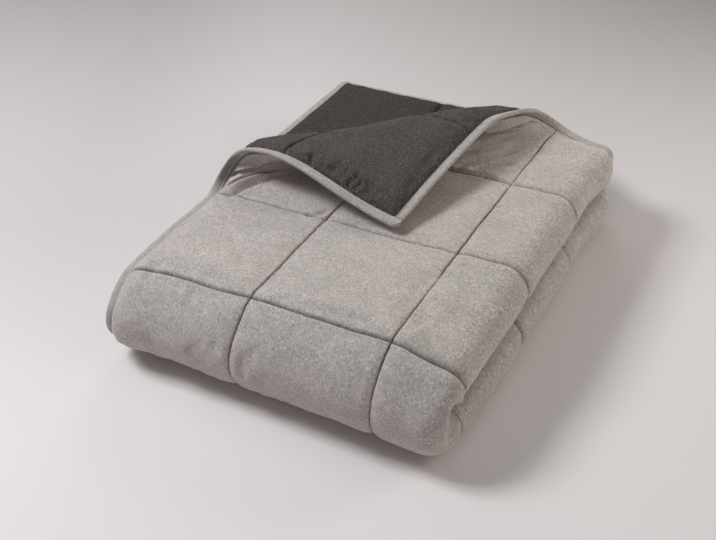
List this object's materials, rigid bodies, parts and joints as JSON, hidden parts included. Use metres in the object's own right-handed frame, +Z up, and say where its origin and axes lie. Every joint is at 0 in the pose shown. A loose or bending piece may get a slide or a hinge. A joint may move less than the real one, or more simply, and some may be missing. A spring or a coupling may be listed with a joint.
{
  "type": "folded quilted duvet",
  "caption": "Quilted duvet folded in half both ways, light heather face with charcoal reverse, sewn in squares, bound edge, one top corner turned back.",
  "frame": {"origin": "middle of the plan outline, on the surface the duvet rests on", "axes": "+Y from the front fold to the open back edges, +X towards the side fold, +Z up"},
  "size_m": [0.6976, 0.9608, 0.271],
  "materials": {
    "quilt": "brushed heather jersey, light grey face and charcoal reverse",
    "binding": "light grey heather tape, folded over the edge and topstitched"
  },
  "bodies": {
    "root": {"quilt_body": "quilt", "binding_side_a": "binding", "binding_side_b": "binding", "binding_head": "binding", "binding_foot": "binding"}
  },
  "joints": []
}
